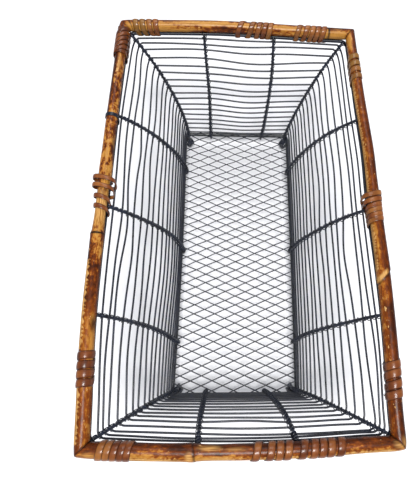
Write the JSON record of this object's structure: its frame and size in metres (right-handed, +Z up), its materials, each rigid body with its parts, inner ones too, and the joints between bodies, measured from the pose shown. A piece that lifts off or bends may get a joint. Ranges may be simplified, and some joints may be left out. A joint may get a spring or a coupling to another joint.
{
  "type": "wire basket",
  "caption": "Oblong flared basket of lashed black wire hoops and ribs, with a cane-bound bamboo rim, a diamond mesh base and scrolled wire feet.",
  "frame": {"origin": "middle of the basket, on the surface under its feet", "axes": "+X across the basket to the right of the picture, +Y along its long side, +Z up"},
  "size_m": [0.275, 0.445, 0.1772],
  "materials": {
    "black_wire": "satin",
    "scorched_bamboo": "gloss",
    "split_cane": "gloss"
  },
  "bodies": {
    "root": {"bamboo_rim": "scorched_bamboo", "base_frame": "black_wire", "base_lattice": "black_wire", "binding_far_left": "split_cane", "binding_far_mid": "split_cane", "binding_far_right": "split_cane", "binding_left_far": "split_cane", "binding_left_mid": "split_cane", "binding_left_near": "split_cane", "binding_near_left": "split_cane", "binding_near_right": "split_cane", "binding_right_far": "split_cane", "binding_right_mid": "split_cane", "binding_right_near": "split_cane", "hoop_01": "black_wire", "hoop_02": "black_wire", "hoop_03": "black_wire", "hoop_04": "black_wire", "hoop_05": "black_wire", "hoop_06": "black_wire", "hoop_07": "black_wire", "hoop_08": "black_wire", "hoop_09": "black_wire", "hoop_10": "black_wire", "hoop_11": "black_wire", "hoop_12": "black_wire", "hoop_13": "black_wire", "hoop_14": "black_wire", "hoop_15": "black_wire", "hoop_16": "black_wire", "hoop_17": "black_wire", "lashing_corner_far_left": "black_wire", "lashing_corner_far_right": "black_wire", "lashing_corner_near_left": "black_wire", "lashing_corner_near_right": "black_wire", "lashing_far_left": "black_wire", "lashing_far_right": "black_wire", "lashing_left_far": "black_wire", "lashing_left_mid": "black_wire", "lashing_left_near": "black_wire", "lashing_near_left": "black_wire", "lashing_near_right": "black_wire", "lashing_right_far": "black_wire", "lashing_right_mid": "black_wire", "lashing_right_near": "black_wire", "rib_corner_far_left": "black_wire", "rib_corner_far_right": "black_wire", "rib_corner_near_left": "black_wire", "rib_corner_near_right": "black_wire", "rib_far_left": "black_wire", "rib_far_right": "black_wire", "rib_left_far": "black_wire", "rib_left_mid": "black_wire", "rib_left_near": "black_wire", "rib_near_left": "black_wire", "rib_near_right": "black_wire", "rib_right_far": "black_wire", "rib_right_mid": "black_wire", "rib_right_near": "black_wire", "rim_rod": "black_wire"}
  },
  "joints": []
}
